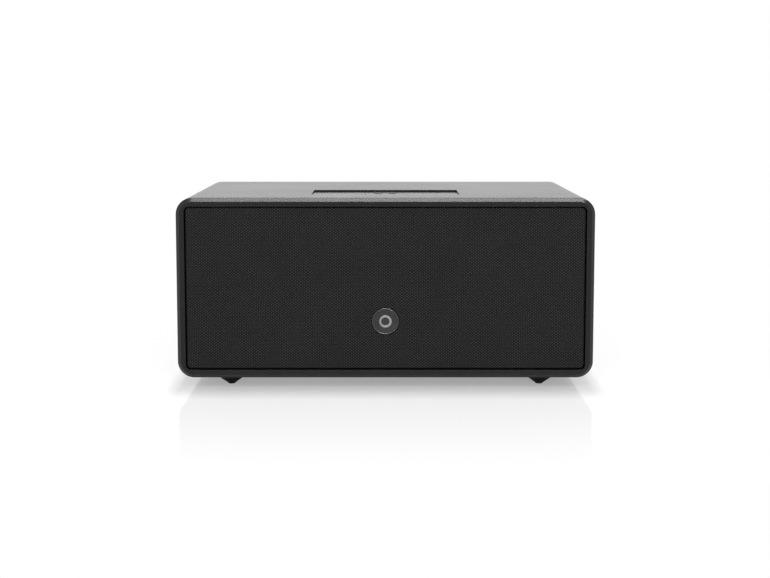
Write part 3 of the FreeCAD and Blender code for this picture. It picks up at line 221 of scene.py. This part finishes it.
def wovenFinish(name):  # plain weave: warp and weft lie over each other by turns, as on a chequerboard; the colour carries painted shade between the threads and on the weft-topped cells
    finish, tree, shader, place = startFinish(name)
    parts = addNode(tree, "ShaderNodeSeparateXYZ", {0: place}).outputs
    wander = doMath(tree, "MULTIPLY", speckle(tree, place, weave["wanderSize"], noise["broadDetail"]),
                    weave["wander"])
    floors, humps = [], []
    for axis, pitch in (("X", "warpPitch"), ("Z", "weftPitch")):
        thread = doMath(tree, "ADD", doMath(tree, "MULTIPLY", parts[axis], 1 / weave[pitch]), wander)
        floors.append(doMath(tree, "FLOOR", thread))
        humps.append(doMath(tree, "SINE", doMath(tree, "MULTIPLY", doMath(tree, "FRACT", thread), math.pi)))
    over = doMath(tree, "PINGPONG", doMath(tree, "ADD", *floors), 1.0)  # 1 where the warp is on top
    hump = doMath(tree, "POWER", doMath(tree, "MULTIPLY", *humps), weave["humpPower"])
    heightAndPaintedShade = doMath(tree, "MULTIPLY", hump, spread(tree, over, weave["under"], 1.0, 0, 1))
    uneven = spread(tree, speckle(tree, place, weave["patch"]), weave["patchShade"], 1.0)
    fibre = speckle(tree, place, weave["fibre"], noise["broadDetail"])
    shade = doMath(tree, "MULTIPLY", uneven, spread(tree, fibre, *weave["fibreShade"]))
    # painted shade: the colour follows the threads' height, darker between the threads and where the weft
    # lies on top
    colour = tint(tree, doMath(tree, "MULTIPLY", heightAndPaintedShade, shade), weave["dark"], weave["light"])
    wire(tree, shader, colour, spread(tree, fibre, *weave["rough"]), heightAndPaintedShade, weave["bump"], weave["depth"])
    shader.inputs["Specular IOR Level"].default_value = weave["shine"]
    return finish


finishes = {slot: coatedFinish(slot.title().replace("_", ""), look) for slot, look in finishLooks.items()}
finishes["grille_cloth"] = wovenFinish("WovenGrilleCloth")

for node in cadNodes.values():  # a node arrives with a plain material that is named after its slot
    slotName = node.data.materials[0].name
    node.data.materials.clear()
    node.data.materials.append(finishes[slotName])
print("stage: finishes on", len(cadNodes), "nodes")


# Small tools for modelling
nearby = 1e-6  # two places that are closer than this are the same
squareOn = .9  # a face looks along an axis when its normal reaches this far


def deselect():
    if bpy.context.mode != "OBJECT":
        bpy.ops.object.mode_set(mode="OBJECT")
    bpy.ops.object.select_all(action="DESELECT")


def selectOnly(piece):
    deselect()
    piece.select_set(True)
    bpy.context.view_layer.objects.active = piece


def startPiece(name, finish):  # the primitive that was just added becomes a named piece, open for editing
    piece = bpy.context.object
    piece.name = name
    piece.data.materials.clear()
    piece.data.materials.append(finishes[finish])
    bpy.ops.object.transform_apply(location=True, rotation=True, scale=True)
    bpy.ops.object.mode_set(mode="EDIT")
    bpy.ops.mesh.select_all(action="SELECT")
    return piece


def pick(piece, kind, test):  # selects vertices, edges or faces by place or normal
    bpy.ops.mesh.select_mode(type={"verts": "VERT", "edges": "EDGE", "faces": "FACE"}[kind])
    bpy.ops.mesh.select_all(action="DESELECT")
    mesh = bmesh.from_edit_mesh(piece.data)
    for part in getattr(mesh, kind):
        part.select_set(bool(test(part)))
    mesh.select_flush_mode()
    bmesh.update_edit_mesh(piece.data)


def useModifier(piece, kind, **settings):
    selectOnly(piece)
    modifier = piece.modifiers.new(kind.title(), kind)
    for key, value in settings.items():
        setattr(modifier, key, value)
    bpy.ops.object.modifier_apply(modifier=modifier.name)


def smooth(piece, angle):
    selectOnly(piece)
    bpy.ops.object.shade_smooth_by_angle(angle=math.radians(angle))


def copyOf(piece, name, move):  # a moved twin with a mesh of its own
    twin = piece.copy()
    twin.data = piece.data.copy()
    twin.name = name
    scene.collection.objects.link(twin)
    for vertex in twin.data.vertices:
        vertex.co = [place + step for place, step in zip(vertex.co, move)]
    return twin


def cutOut(piece, cutter):  # takes the cutter's shape out of the piece
    useModifier(piece, "BOOLEAN", operation="DIFFERENCE", object=cutter, solver="EXACT")
    bpy.data.objects.remove(cutter)


# The stretched grille cloth, turned round the edge of its frame, with a hole for the badge
cloth = {"width": .3968, "height": .1618, "frontY": -.1088, "middleZ": .1025, "corner": .0039,
         "cornerSteps": 10, "wrap": .0025, "edgeRound": .0018, "edgeSteps": 5, "thickness": .0006,
         "badgeZ": .0695, "holeRadius": .0142, "holeSides": 64, "cutterLength": .02, "smooth": 40}
deselect()
bpy.ops.mesh.primitive_plane_add(size=1, location=(0, cloth["frontY"] + cloth["wrap"], cloth["middleZ"]),
                                 rotation=(math.pi / 2, 0, 0))
bpy.context.object.scale = (cloth["width"], cloth["height"], 1)
clothPiece = startPiece("grilleClothSheet", "grille_cloth")
bpy.ops.mesh.bevel(offset=cloth["corner"], segments=cloth["cornerSteps"], profile=.5, affect="VERTICES")
bpy.ops.mesh.select_all(action="SELECT")
bpy.ops.mesh.extrude_region_move(TRANSFORM_OT_translate={"value": (0, -cloth["wrap"], 0)})
frontFace = cloth["frontY"] + nearby
pick(clothPiece, "faces",
     lambda face: abs(face.normal.y) > squareOn and face.calc_center_median().y > frontFace)
bpy.ops.mesh.delete(type="ONLY_FACE")  # the sheet is open towards its frame
pick(clothPiece, "edges", lambda edge: all(corner.co.y < frontFace for corner in edge.verts))
bpy.ops.mesh.bevel(offset=cloth["edgeRound"], segments=cloth["edgeSteps"], profile=.5, affect="EDGES")
bpy.ops.mesh.select_all(action="SELECT")
bpy.ops.mesh.normals_make_consistent(inside=False)
bpy.ops.object.mode_set(mode="OBJECT")
useModifier(clothPiece, "SOLIDIFY", thickness=cloth["thickness"], offset=-1.0, use_even_offset=True)
deselect()
bpy.ops.mesh.primitive_cylinder_add(vertices=cloth["holeSides"], radius=cloth["holeRadius"],
                                    depth=cloth["cutterLength"], rotation=(math.pi / 2, 0, 0),
                                    location=(0, cloth["frontY"], cloth["badgeZ"]))
cutOut(clothPiece, bpy.context.object)
smooth(clothPiece, cloth["smooth"])
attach(clothPiece, "grille")
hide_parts("grille_cloth")
print("stage: grille cloth,", len(clothPiece.data.polygons), "faces")


# Cross-recess screws: one of each kind, then its copies
holes = {"wooferX": .126, "wooferZ": .1025,
         "wooferHoles": [(x, z) for x in (-.04448, .04448) for z in (-.04448, .04448)],
         "tweeterX": .031, "tweeterZ": .14,
         "tweeterHoles": [(0, .0244), (-.02113, -.0122), (.02113, -.0122)],
         "plateZ": .0615,
         "plateHoles": [(x, z) for x in (-.089, -.03, .03, .089) for z in (-.031, .031)]}
screwForm = {"sides": 28, "headRadius": .003, "headHeight": .002, "headRound": .0009, "roundSteps": 4,
             "threadSteps": 8, "stepsInLength": 8.6, "narrow": .8, "wide": 1.25,
             "cross": (.0034, .0022, .0007), "smooth": 30}
screws = {
    "driver": {"node": "driver_screws", "shankRadius": .0019, "length": .011, "seatY": -.099, "facing": -1,
               "places": [(side * holes[unit + "X"] + x, holes[unit + "Z"] + z)
                          for unit in ("woofer", "tweeter") for side in (-1, 1)
                          for x, z in holes[unit + "Holes"]]},
    "plate": {"node": "plate_screws", "shankRadius": .0016, "length": .010, "seatY": .102, "facing": 1,
              "places": [(x, holes["plateZ"] + z) for x, z in holes["plateHoles"]]},
}
for kind, screw in screws.items():
    facing = screw["facing"]
    headTop = screw["seatY"] + facing * screwForm["headHeight"]
    deselect()
    bpy.ops.mesh.primitive_cylinder_add(vertices=screwForm["sides"], radius=screwForm["headRadius"],
                                        depth=screwForm["headHeight"],
                                        location=(0, (screw["seatY"] + headTop) / 2, 0),
                                        rotation=(-facing * math.pi / 2, 0, 0))
    headPiece = startPiece(kind + "Screw0", "screw_black")
    pick(headPiece, "edges", lambda edge: all(abs(end.co.y - headTop) < nearby for end in edge.verts))
    bpy.ops.mesh.bevel(offset=screwForm["headRound"], segments=screwForm["roundSteps"], profile=.5,
                       affect="EDGES")
    pick(headPiece, "faces", lambda face: face.normal.y * facing < -squareOn)
    bpy.ops.mesh.inset(thickness=screwForm["headRadius"] - screw["shankRadius"])
    down = -facing * screw["length"] / screwForm["stepsInLength"]
    for step in range(screwForm["threadSteps"]):  # the shank, drawn in and out as a thread
        bpy.ops.mesh.extrude_region_move(TRANSFORM_OT_translate={"value": (0, down, 0)})
        size = screwForm["narrow"] if step % 2 == 0 else screwForm["wide"]
        bpy.ops.transform.resize(value=(size, 1, size))
    bpy.ops.object.mode_set(mode="OBJECT")
    for turn in (0, math.pi / 2):  # the cross
        deselect()
        bpy.ops.mesh.primitive_cube_add(size=1, location=(0, headTop, 0), rotation=(0, turn, 0))
        bpy.context.object.scale = screwForm["cross"]
        cutOut(headPiece, bpy.context.object)
    smooth(headPiece, screwForm["smooth"])
    for number, (x, z) in enumerate(screw["places"]):
        screwPiece = copyOf(headPiece, kind + "Screw" + str(number + 1), (x, 0, z))
        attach(screwPiece, "cabinet")
        if number == 0:
            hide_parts(screw["node"])
    bpy.data.objects.remove(headPiece)
print("stage: screws,", sum(len(screw["places"]) for screw in screws.values()))


# Printed marks on the keys
marks = {"top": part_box("play_key")[1][2], "thickness": .00006, "size": .0026, "bar": .00042,
         "front": -.0534, "rear": -.0264, "figureSize": 1.35, "arrowWidth": 1.25, "stemWidth": .3,
         "weld": 1e-7,
         "keys": {"volume_down_key": (-.0225, "front", "minus"), "preset_one_key": (-.0075, "front", "1"),
                  "preset_two_key": (.0075, "front", "2"), "volume_up_key": (.0225, "front", "plus"),
                  "source_key": (-.0075, "rear", "arrow"), "play_key": (.0075, "rear", "triangle")}}
half, bar = marks["size"] / 2, marks["bar"]
for keyName, (keyX, row, sign) in marks["keys"].items():
    markName = keyName.replace("_key", "") + "Mark"
    middle = (keyX, marks[row], marks["top"] + marks["thickness"] / 2)
    deselect()
    if sign in "12":
        bpy.ops.object.text_add(location=(0, 0, 0))
        figure = bpy.context.object
        figure.data.body = sign
        figure.data.size = marks["size"] * marks["figureSize"]
        figure.data.align_x, figure.data.align_y = "CENTER", "CENTER"
        figure.data.extrude = marks["thickness"] / 2
        bpy.ops.object.convert(target="MESH")
        figure.location = middle
        markPiece = startPiece(markName, "mark_white")
    elif sign in ("minus", "plus"):
        bpy.ops.mesh.primitive_cube_add(size=1, location=middle)
        bpy.context.object.scale = (bar, bar, marks["thickness"])
        markPiece = startPiece(markName, "mark_white")
        ways = ("x", "y") if sign == "plus" else ("x",)
        pick(markPiece, "faces",
             lambda face: any(abs(getattr(face.normal, way)) > squareOn for way in ways))
        bpy.ops.mesh.extrude_faces_move(TRANSFORM_OT_shrink_fatten={"value": half - bar / 2})
    else:
        bpy.ops.mesh.primitive_cylinder_add(vertices=3, radius=half, depth=marks["thickness"],
                                            location=middle, rotation=(0, 0, -math.pi / 2))
        markPiece = startPiece(markName, "mark_white")
        if sign == "arrow":  # the blunt side grows a stem
            pick(markPiece, "faces", lambda face: face.normal.x < -squareOn)
            bpy.ops.transform.resize(value=(1, marks["arrowWidth"], 1))
            bpy.ops.mesh.extrude_region_move(TRANSFORM_OT_translate={"value": (0, 0, 0)})
            bpy.ops.transform.resize(value=(1, marks["stemWidth"], 1))
            bpy.ops.mesh.extrude_region_move(TRANSFORM_OT_translate={"value": (-half, 0, 0)})
    bpy.ops.mesh.select_all(action="SELECT")
    bpy.ops.mesh.remove_doubles(threshold=marks["weld"])
    bpy.ops.mesh.normals_make_consistent(inside=False)
    bpy.ops.object.mode_set(mode="OBJECT")
    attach(markPiece, keyName)
print("stage: key marks")


# The surround and the spider of each woofer, in wedges between the basket and the cone
flexes = {
    "Surround": {"node": "woofer_surround_", "finish": "rubber_black", "thickness": .0009, "fixed": .0565,
                 "moving": .0465, "outer": .059, "inner": .0435, "footY": -.0989, "roll": .005,
                 "rollMiddle": .0515, "rollSteps": 14},
    "Spider": {"node": "woofer_spider_", "finish": "spider_cloth", "thickness": .0006, "fixed": .0335,
               "moving": .0155, "outer": .0385, "inner": .0132, "footY": -.0727, "wave": .0011, "waves": 3,
               "waveSteps": 8},
}
wedges = {"count": 8, "steps": 6, "smooth": 40, "seedSize": .001}
wedgeTurn = math.tau / wedges["count"]


def flexOutline(flex):  # radius and height in front of the foot, from the glued rim to the inner edge
    if "roll" in flex:
        turns = [step * math.pi / flex["rollSteps"] for step in range(flex["rollSteps"] + 1)]
        middle = [(flex["rollMiddle"] + flex["roll"] * math.cos(turn), flex["roll"] * math.sin(turn))
                  for turn in turns]
    else:
        steps = flex["waveSteps"] * flex["waves"]
        pitch = (flex["fixed"] - flex["moving"]) / steps
        turn = math.tau / flex["waveSteps"]
        middle = [(flex["fixed"] - step * pitch, -flex["wave"] * math.sin(step * turn))
                  for step in range(steps + 1)]
    return [(flex["outer"], 0), *middle, (flex["inner"], 0)]


for side in ("left", "right"):
    for flexName, flex in flexes.items():
        low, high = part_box(flex["node"] + side)
        hub = ((low[0] + high[0]) / 2, flex["footY"], (low[2] + high[2]) / 2)
        outline = flexOutline(flex)
        for number in range(wedges["count"]):
            deselect()
            bpy.ops.mesh.primitive_plane_add(size=wedges["seedSize"],
                                             location=(outline[0][0], -outline[0][1], 0))
            wedge = startPiece("woofer" + flexName + side.title() + str(number + 1), flex["finish"])
            bpy.ops.mesh.select_mode(type="VERT")
            bpy.ops.mesh.merge(type="CENTER")  # one point, which is drawn along the outline
            for (here, hereUp), (there, thereUp) in zip(outline, outline[1:]):
                bpy.ops.mesh.extrude_region_move(TRANSFORM_OT_translate={
                    "value": (there - here, hereUp - thereUp, 0)})
            bpy.ops.object.mode_set(mode="OBJECT")
            useModifier(wedge, "SCREW", axis="Y", angle=wedgeTurn, steps=wedges["steps"],
                        render_steps=wedges["steps"])
            useModifier(wedge, "SOLIDIFY", thickness=flex["thickness"], offset=-1.0)
            wedge.rotation_euler = (0, number * wedgeTurn, 0)
            wedge.location = hub
            smooth(wedge, wedges["smooth"])
            bpy.ops.object.transform_apply(location=True, rotation=True, scale=True)
            middle = (number + .5) * wedgeTurn
            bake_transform(wedge)
            if number == 0:
                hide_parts(flex["node"] + side)
print("stage: surrounds and spiders")


# Lumpy wadding on the two side walls
pad = {"x": .1952, "thickness": .0072, "length": .118, "height": .126, "middleZ": .1025, "cuts": 14,
       "lump": .0016, "anyWay": .1, "outward": .6, "seed": 4, "ease": .6, "easeTimes": 3, "smooth": 80}
for sideName, side in (("Left", -1), ("Right", 1)):
    deselect()
    bpy.ops.mesh.primitive_cube_add(size=1, location=(side * pad["x"], 0, pad["middleZ"]))
    bpy.context.object.scale = (pad["thickness"], pad["length"], pad["height"])
    padPiece = startPiece("waddingPad" + sideName, "wadding")
    bpy.ops.mesh.subdivide(number_cuts=pad["cuts"])
    bpy.ops.transform.vertex_random(offset=pad["lump"], uniform=pad["anyWay"], normal=pad["outward"],
                                    seed=pad["seed"] + side)
    bpy.ops.mesh.vertices_smooth(factor=pad["ease"], repeat=pad["easeTimes"])
    bpy.ops.object.mode_set(mode="OBJECT")
    useModifier(padPiece, "SUBSURF", levels=1, render_levels=1)
    smooth(padPiece, pad["smooth"])
    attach(padPiece, "cabinet")
    if side < 0:
        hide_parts("damping_pads")
print("stage: wadding")


# Spring contacts in the network socket
contacts = {"count": 8, "pitch": .00102, "x": -.022, "y": .0955, "z": .0638, "length": .0085,
            "width": .0004, "sides": 10, "drops": (-.0004, -.0008, -.0004, .0006), "smooth": 50}
straight = contacts["length"] / 2  # the bent end takes the other half
deselect()
bpy.ops.mesh.primitive_cylinder_add(vertices=contacts["sides"], radius=contacts["width"] / 2,
                                    depth=straight, location=(0, contacts["y"] - straight / 2, 0),
                                    rotation=(math.pi / 2, 0, 0))
contactPiece = startPiece("networkContact0", "contact_gold")
pick(contactPiece, "faces", lambda face: face.normal.y > squareOn)
onward = straight / len(contacts["drops"])
for drop in contacts["drops"]:
    bpy.ops.mesh.extrude_region_move(TRANSFORM_OT_translate={"value": (0, onward, drop)})
bpy.ops.object.mode_set(mode="OBJECT")
smooth(contactPiece, contacts["smooth"])
for number in range(contacts["count"]):
    place = contacts["x"] + (number - (contacts["count"] - 1) / 2) * contacts["pitch"]
    twin = copyOf(contactPiece, "networkContact" + str(number + 1), (place, 0, contacts["z"]))
    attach(twin, "cabinet")
bpy.data.objects.remove(contactPiece)
print("stage: socket contacts")


# The studio: a pale polished floor that fades to white round the shadow, a white surround and four lamps
studio = {"floorSize": 30.0, "floorShade": .8, "shadowLift": .33, "shadowGain": .72, "fadeMiddle": -.1,
          "fadeFrom": .16, "fadeTo": .5, "gloss": .125, "glossRough": .05, "glossFrom": .13, "glossTo": .36,
          "fill": .15, "fillSides": .4,
          "lamps": {"keyBox": {"place": (0, .42, 6), "turn": 0, "size": (.55, 1.2), "glow": 70.0,
                               "noShine": True},
                    "topStrip": {"place": (1.1, -.66, 6), "turn": 0, "size": (5.6, .6), "glow": 35.0,
                                "onlyShine": True},
                    "frontBox": {"place": (0, -3, 1.95), "turn": 56, "size": (8, 2.8), "glow": 1.28},
                    "backBox": {"place": (0, 3.2, .75), "turn": -90, "size": (3.6, 1.4), "glow": .43}}}


def rayKind(tree):  # 1 for what the camera sees, also in a reflection or through glass
    path = addNode(tree, "ShaderNodeLightPath").outputs
    seen = doMath(tree, "MAXIMUM", path["Is Camera Ray"], path["Is Glossy Ray"])
    return doMath(tree, "MAXIMUM", seen, path["Is Transmission Ray"])


def grey(shade):
    return (shade, shade, shade, 1)


def makeLayer(tree, kind, **inputs):  # a plain shader
    return addNode(tree, "ShaderNode" + kind, inputs).outputs[0]


def joinLayers(tree, kind, *layers):
    return addNode(tree, "ShaderNode" + kind + "Shader", dict(enumerate(layers))).outputs[0]


deselect()
bpy.ops.mesh.primitive_plane_add(size=studio["floorSize"])
floorPiece = bpy.context.object
floorPiece.name = "floor"
floorFinish = bpy.data.materials.new("paleFloor")
floorFinish.use_nodes = True
tree = floorFinish.node_tree
tree.nodes.clear()
spot = addNode(tree, "ShaderNodeTexCoord").outputs["Object"]
away = doVector(tree, "DISTANCE", spot, (0, studio["fadeMiddle"], 0), "Value")
far = addNode(tree, "ShaderNodeMapRange", {"Value": away, "From Min": studio["fadeFrom"],
                                           "From Max": studio["fadeTo"]},
              interpolation_type="SMOOTHSTEP").outputs["Result"]
depthAway = doMath(tree, "ABSOLUTE", addNode(tree, "ShaderNodeSeparateXYZ", {0: spot}).outputs["Y"])
polish = spread(tree, depthAway, 1.0, 0.0, studio["glossFrom"], studio["glossTo"])
mirror = makeLayer(tree, "BsdfGlossy", Color=grey(studio["gloss"]), Roughness=studio["glossRough"])
sheen = joinLayers(tree, "Mix", polish, makeLayer(tree, "Emission", Strength=studio["gloss"]), mirror)
near = joinLayers(tree, "Add", makeLayer(tree, "BsdfDiffuse", Color=grey(studio["shadowGain"])),
                  makeLayer(tree, "Emission", Strength=studio["shadowLift"]))
near = joinLayers(tree, "Add", near, sheen)
shown = joinLayers(tree, "Mix", far, near, makeLayer(tree, "Emission", Strength=1.0))
plain = makeLayer(tree, "BsdfDiffuse", Color=grey(studio["floorShade"]))  # for the light from below
addNode(tree, "ShaderNodeOutputMaterial", {0: joinLayers(tree, "Mix", rayKind(tree), plain, shown)})
floorPiece.data.materials.append(floorFinish)

world = bpy.data.worlds.new("studioSurround")
world.use_nodes = True
scene.world = world
sky = world.node_tree
aim = addNode(sky, "ShaderNodeTexCoord").outputs["Generated"]
aside = doMath(sky, "ABSOLUTE", addNode(sky, "ShaderNodeSeparateXYZ", {0: aim}).outputs["X"])
evenness = doMath(sky, "SUBTRACT", 1.0, doMath(sky, "MULTIPLY", aside, studio["fillSides"]))
fill = doMath(sky, "MULTIPLY", evenness, studio["fill"])
strength = addNode(sky, "ShaderNodeMapRange", {"Value": rayKind(sky), "To Min": fill, "To Max": 1.0})
background = sky.nodes["Background"]
background.inputs["Color"].default_value = grey(1)
sky.links.new(strength.outputs["Result"], background.inputs["Strength"])

for lampName, lamp in studio["lamps"].items():  # none is seen itself, only its light or its reflection
    deselect()
    bpy.ops.object.light_add(type="AREA", location=lamp["place"],
                             rotation=(math.radians(lamp["turn"]), 0, 0))
    lampPiece = bpy.context.object
    lampPiece.name = lampName
    lampPiece.data.shape = "RECTANGLE"
    lampPiece.data.size, lampPiece.data.size_y = lamp["size"]
    area = lamp["size"][0] * lamp["size"][1]
    lampPiece.data.energy = math.pi * lamp["glow"] * area  # so its face shines as bright as its glow
    lampPiece.visible_camera = False
    lampPiece.visible_diffuse = "onlyShine" not in lamp
    lampPiece.visible_glossy = "noShine" not in lamp
print("stage: studio")


# The camera, a little above the speaker and looking slightly down at its front
eye = {"place": (-.0004, -1.2528, .2951), "pitch": 5.032, "lens": 54.37, "rise": -.12, "sensor": 36,
       "clip": (.01, 200)}
bpy.ops.object.camera_add(location=eye["place"], rotation=(math.radians(90 - eye["pitch"]), 0, 0))
scene.camera = bpy.context.object
scene.camera.data.lens = eye["lens"]
scene.camera.data.sensor_width = eye["sensor"]
scene.camera.data.shift_y = eye["rise"]
scene.camera.data.clip_start, scene.camera.data.clip_end = eye["clip"]
scene.view_settings.view_transform = "Standard"

print("stage: camera and sizes")
